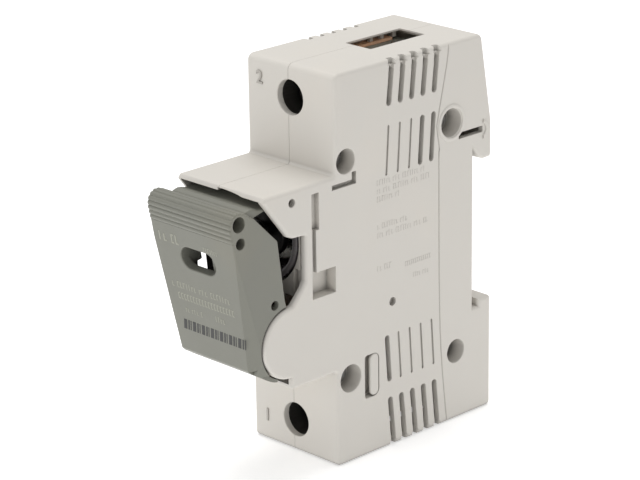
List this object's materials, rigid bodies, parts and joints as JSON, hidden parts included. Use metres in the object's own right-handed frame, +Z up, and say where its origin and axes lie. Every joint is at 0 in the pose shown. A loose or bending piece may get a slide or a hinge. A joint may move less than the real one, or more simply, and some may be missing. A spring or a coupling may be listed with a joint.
{
  "type": "cartridge fuse holder",
  "caption": "Modular rail-mounted cartridge fuse holder: narrow light grey two-shell housing with clamp terminals and a tilting grey lever over the fuse socket.",
  "frame": {"origin": "middle of the flat face that seats on the 35 mm DIN rail", "axes": "+Y out of the back towards the rail, +Z up along the 90 mm height, +X across the 27 mm width to the right as seen from the front"},
  "size_m": [0.027, 0.0802, 0.09],
  "materials": {
    "housing_plastic": "fine satin texture, light warm grey thermoset",
    "lever_plastic": "fine satin texture, mid grey",
    "black_plastic": "satin black thermoset",
    "base_plastic": "satin dark grey thermoset",
    "ring_plastic": "smooth dark grey",
    "copper": "bare copper, drawn strip",
    "silver_plate": "silver-plated copper",
    "spring_steel": "bright steel",
    "zinc_steel": "zinc plated, passivated",
    "ceramic": "glazed white porcelain",
    "red_plastic": "moulded red plastic",
    "clip_plastic": "dark grey moulded plastic"
  },
  "bodies": {
    "housing": {"housing_right_shell": "housing_plastic", "housing_left_shell": "housing_plastic", "fuse_base": "base_plastic", "socket_ring": "ring_plastic", "gauge_ring": "red_plastic", "rear_contact": "silver_plate", "rear_contact_spring": "spring_steel", "upper_busbar": "copper", "lower_busbar": "copper", "fixed_jaw_contact": "silver_plate", "rivet_upper_front": "spring_steel", "rivet_upper_rear": "spring_steel", "rivet_lower_front": "spring_steel", "rivet_lower_rear": "spring_steel", "coupling_plug_right": "housing_plastic", "coupling_plug_left": "housing_plastic", "din_clip_spring": "spring_steel", "lever_pivot_pin": "spring_steel", "lever_torsion_spring": "spring_steel", "upper_screw_sleeve": "black_plastic", "lower_screw_sleeve": "black_plastic"},
    "lever": {"handle_lever": "lever_plastic", "contact_carrier": "black_plastic", "lever_contact_cap": "silver_plate", "lever_contact_spring": "spring_steel", "moving_contact_blade": "silver_plate"},
    "cartridge": {"fuse_body": "ceramic", "fuse_front_cap": "silver_plate", "fuse_rear_cap": "silver_plate", "fuse_indicator": "red_plastic"},
    "upper_screw": {"upper_clamp_screw": "zinc_steel"},
    "upper_cage": {"upper_clamp_cage": "zinc_steel", "upper_clamp_plate": "zinc_steel"},
    "lower_screw": {"lower_clamp_screw": "zinc_steel"},
    "lower_cage": {"lower_clamp_cage": "zinc_steel", "lower_clamp_plate": "zinc_steel"},
    "rail_clip": {"din_clip": "clip_plastic"}
  },
  "joints": [
    {"name": "lever_hinge", "type": "hinge", "parent": "housing", "child": "lever", "pos_m": [0, -0.0575, -0.0118], "axis": [1, 0, 0], "range_deg": [-6, 45]},
    {"name": "cartridge_slide", "type": "slide", "parent": "housing", "child": "cartridge", "axis": [0, -1, 0], "range_m": [0, 0.0012]},
    {"name": "upper_screw_turn", "type": "hinge", "parent": "housing", "child": "upper_screw", "pos_m": [0, -0.032, 0.0375], "axis": [0, 1, 0], "range_deg": [0, 2700]},
    {"name": "upper_cage_slide", "type": "slide", "parent": "housing", "child": "upper_cage", "axis": [0, -1, 0], "range_m": [0, 0.0075]},
    {"name": "lower_screw_turn", "type": "hinge", "parent": "housing", "child": "lower_screw", "pos_m": [0, -0.032, -0.0375], "axis": [0, 1, 0], "range_deg": [0, 2700]},
    {"name": "lower_cage_slide", "type": "slide", "parent": "housing", "child": "lower_cage", "axis": [0, -1, 0], "range_m": [0, 0.0075]},
    {"name": "rail_clip_slide", "type": "slide", "parent": "housing", "child": "rail_clip", "axis": [0, 0, 1], "range_m": [0, 0.0025]}
  ],
  "couplings": [
    {"joint": "upper_screw_turn", "follows": "upper_cage_slide", "rad_per_m": 6283},
    {"joint": "lower_screw_turn", "follows": "lower_cage_slide", "rad_per_m": 6283}
  ]
}
